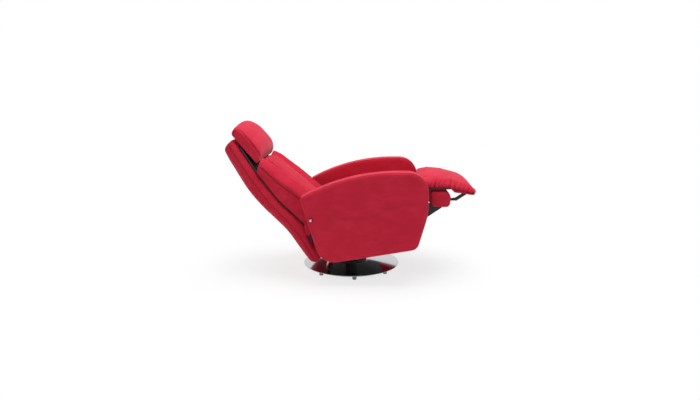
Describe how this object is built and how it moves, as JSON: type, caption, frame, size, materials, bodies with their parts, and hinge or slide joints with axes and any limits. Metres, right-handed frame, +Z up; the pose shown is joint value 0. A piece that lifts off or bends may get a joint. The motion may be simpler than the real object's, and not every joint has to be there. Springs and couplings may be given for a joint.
{
  "type": "swivel recliner",
  "caption": "Upholstered swivel recliner with slab arms on a round metal base; the back reclines, the headrest slides and the padded legrest folds down.",
  "frame": {"origin": "on the floor, on the swivel axis of the base disc", "axes": "+Z up along the swivel axis, the chair faces -Y with its legrest out, X across the chair"},
  "size_m": [0.753, 1.3665, 0.8731],
  "materials": {
    "upholstery": "soft napped microfibre, deep rose red",
    "webbing": "woven strap",
    "timber": "sanded, unfinished",
    "dark_board": "dark stained",
    "black_steel": "satin black powder coat",
    "polished_chrome": "mirror polish",
    "zinc_steel": "zinc plated",
    "iron": "as cast",
    "glide_plastic": "matt grey",
    "bearing_plastic": "natural"
  },
  "bodies": {
    "base": {"base_bolts": "zinc_steel", "base_disc": "polished_chrome", "base_glides": "glide_plastic", "base_weight_plate": "iron", "bearing_balls": "zinc_steel", "bearing_cage": "bearing_plastic", "bearing_lower_race": "zinc_steel", "king_bolt": "zinc_steel", "swivel_post": "black_steel"},
    "chair": {"arm_bolts": "zinc_steel", "arm_frame_left": "timber", "arm_frame_right": "timber", "arm_pad_inner_left": "upholstery", "arm_pad_inner_right": "upholstery", "arm_pad_outer_left": "upholstery", "arm_pad_outer_right": "upholstery", "bearing_upper_race": "zinc_steel", "cross_tube_front": "black_steel", "cross_tube_rear": "black_steel", "dust_cover": "black_steel", "leg_pivot_pins": "zinc_steel", "leg_pivot_spacers": "zinc_steel", "recline_bolts": "polished_chrome", "recline_washers": "zinc_steel", "seat_cross_rails": "timber", "seat_cushion": "upholstery", "seat_rail_left": "timber", "seat_rail_right": "timber", "seat_webbing": "webbing", "side_plate_left": "black_steel", "side_plate_right": "black_steel", "sleeve_bushes": "bearing_plastic", "strut_lugs_front": "black_steel", "strut_pin_front": "zinc_steel", "turntable": "black_steel", "underframe_rails": "black_steel"},
    "back": {"back_board": "dark_board", "back_bracket_left": "black_steel", "back_bracket_right": "black_steel", "back_cushion": "upholstery", "back_shell": "upholstery", "headrest_guides": "black_steel", "strut_lugs_back": "black_steel", "strut_pin_back": "zinc_steel"},
    "headrest": {"headrest_board": "dark_board", "headrest_pillow": "upholstery", "headrest_posts": "black_steel"},
    "legrest": {"legrest_arms": "black_steel", "legrest_board": "timber", "legrest_pad": "upholstery", "link_lugs": "black_steel", "link_pins": "zinc_steel"},
    "flap": {"flap_arms": "black_steel", "flap_board": "timber", "flap_lugs": "black_steel", "flap_pad": "upholstery", "flap_pins": "zinc_steel"},
    "links": {"pad_links": "black_steel"},
    "strut_cylinder": {"strut_cylinder": "black_steel"},
    "strut_rod": {"strut_rod": "zinc_steel"}
  },
  "joints": [
    {"name": "swivel", "type": "hinge", "parent": "base", "child": "chair", "pos_m": [0, 0, 0], "axis": [0, 0, 1], "continuous": true},
    {"name": "recline", "type": "hinge", "parent": "chair", "child": "back", "pos_m": [0, 0.208, 0.368], "axis": [1, 0, 0], "range_deg": [0, 28]},
    {"name": "headrest_slide", "type": "slide", "parent": "back", "child": "headrest", "axis": [0, 0.5394, 0.842], "range_m": [0, 0.06]},
    {"name": "legrest_fold", "type": "hinge", "parent": "chair", "child": "legrest", "pos_m": [0, -0.356, 0.458], "axis": [1, 0, 0], "range_deg": [0, 90]},
    {"name": "flap_fold", "type": "hinge", "parent": "chair", "child": "flap", "pos_m": [0, -0.29, 0.414], "axis": [1, 0, 0], "range_deg": [0, 90]},
    {"name": "link_turn", "type": "hinge", "parent": "legrest", "child": "links", "pos_m": [0, -0.641, 0.502], "axis": [1, 0, 0], "range_deg": [-90, 0]},
    {"name": "strut_turn", "type": "hinge", "parent": "chair", "child": "strut_cylinder", "pos_m": [0, -0.13, 0.243], "axis": [1, 0, 0], "range_deg": [0, 0.7]},
    {"name": "strut_slide", "type": "slide", "parent": "strut_cylinder", "child": "strut_rod", "axis": [0, 0.9998, 0.0215], "range_m": [0, 0.05726]}
  ],
  "couplings": [
    {"joint": "flap_fold", "follows": "legrest_fold", "ratio": 1},
    {"joint": "link_turn", "follows": "legrest_fold", "ratio": -1},
    {"joint": "strut_turn", "follows": "recline", "ratio": 0.025},
    {"joint": "strut_slide", "follows": "recline", "m_per_rad": 0.11716}
  ]
}
